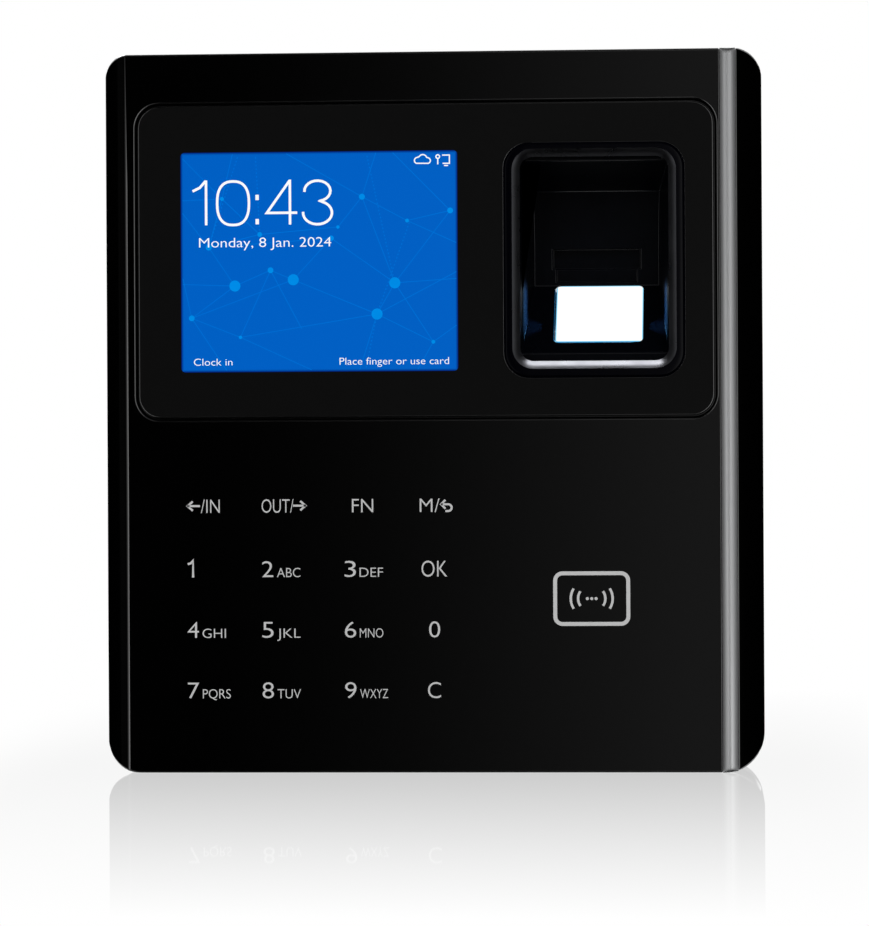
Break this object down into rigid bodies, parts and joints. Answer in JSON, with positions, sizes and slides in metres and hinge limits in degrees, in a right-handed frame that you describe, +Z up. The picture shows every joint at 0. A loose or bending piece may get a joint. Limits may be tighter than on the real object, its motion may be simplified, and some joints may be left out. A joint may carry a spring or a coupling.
{
  "type": "fingerprint scanner terminal",
  "caption": "Wall-mounted fingerprint and card terminal with an inset display, a lit platen in a deep bay, a touch keypad and a lift-off wall plate.",
  "frame": {"origin": "centre of the wall plate's four screw holes, on the wall's surface", "axes": "+Z up, +X right, the front faces -Y"},
  "size_m": [0.1368, 0.0365, 0.1484],
  "materials": {
    "cover_black": "piano-black ABS, polished",
    "lens_black": "back-printed acrylic, polished",
    "trim_silver": "satin silver plated strip",
    "bezel_black": "gloss black ABS with polished chamfer",
    "bay_black": "fine matt black ABS",
    "prism_glass": "polished optical glass, lit from below",
    "shell_black": "fine spark-eroded matt black ABS",
    "sheet_steel": "zinc-plated folded sheet",
    "screw_steel": "zinc-plated",
    "tape_black": "matt black foam tape",
    "lcd_glass": "glossy display module",
    "board_green": "solder-masked board",
    "chip_black": "moulded package",
    "connector_cream": "moulded nylon",
    "flex_amber": "polyimide ribbon",
    "flex_white": "white ribbon cable",
    "wire_red": "insulated wire",
    "relay_blue": "moulded case",
    "terminal_green": "moulded polyamide",
    "nickel_shield": "tinned shield",
    "speaker_black": "coated basket",
    "button_white": "moulded acetal",
    "cell_steel": "stainless can",
    "coil_blue": "solder-masked flexible board"
  },
  "bodies": {
    "wall_plate": {"wall_plate": "sheet_steel"},
    "terminal": {"front_cover": "cover_black", "display_lens": "lens_black", "lens_tape": "tape_black", "side_trim": "trim_silver", "rear_shell": "shell_black", "housing_screws": "screw_steel", "lcd_panel": "lcd_glass", "lcd_gasket": "tape_black", "lcd_bracket": "sheet_steel", "lcd_bracket_screws": "screw_steel", "lcd_flex": "flex_amber", "keypad_board": "board_green", "keypad_flex": "flex_white", "rfid_antenna": "coil_blue", "rfid_cable": "wire_red", "scanner_bezel": "bezel_black", "sensor_housing": "bay_black", "sensor_prism": "prism_glass", "sensor_led_board": "board_green", "sensor_camera": "chip_black", "sensor_cable": "flex_white", "sensor_screws": "screw_steel", "main_board": "board_green", "board_connectors": "connector_cream", "processor": "chip_black", "memory_chips": "chip_black", "board_screws": "screw_steel", "lock_relay": "relay_blue", "terminal_blocks": "terminal_green", "terminal_screws": "screw_steel", "ethernet_jack": "nickel_shield", "usb_port": "nickel_shield", "flap_pin": "screw_steel", "speaker": "speaker_black", "speaker_frame": "chip_black", "speaker_wires": "wire_red", "cell_holder": "chip_black", "coin_cell": "cell_steel", "tamper_switch": "chip_black", "tamper_spring": "screw_steel", "reset_switch": "chip_black"},
    "lock_screw": {"lock_screw": "screw_steel"},
    "tamper_plunger": {"tamper_plunger": "button_white"},
    "usb_flap": {"usb_flap": "shell_black"},
    "reset_button": {"reset_button": "button_white"}
  },
  "joints": [
    {"name": "terminal_lift", "type": "slide", "parent": "wall_plate", "child": "terminal", "axis": [0, 0, 1], "range_m": [0, 0.008]},
    {"name": "lock_screw_back_out", "type": "slide", "parent": "terminal", "child": "lock_screw", "axis": [0, 0, -1], "range_m": [0, 0.006]},
    {"name": "tamper_press", "type": "slide", "parent": "terminal", "child": "tamper_plunger", "axis": [0, -1, 0], "range_m": [0, 0.0015], "stiffness_N_per_m": 200, "deforming": ["tamper_spring"]},
    {"name": "usb_flap_swing", "type": "hinge", "parent": "terminal", "child": "usb_flap", "pos_m": [-0.0673, -0.0152, -0.025], "axis": [0, 0, -1], "range_deg": [0, 95]},
    {"name": "reset_press", "type": "slide", "parent": "terminal", "child": "reset_button", "axis": [1, 0, 0], "range_m": [0, 0.0005], "stiffness_N_per_m": 1000}
  ]
}
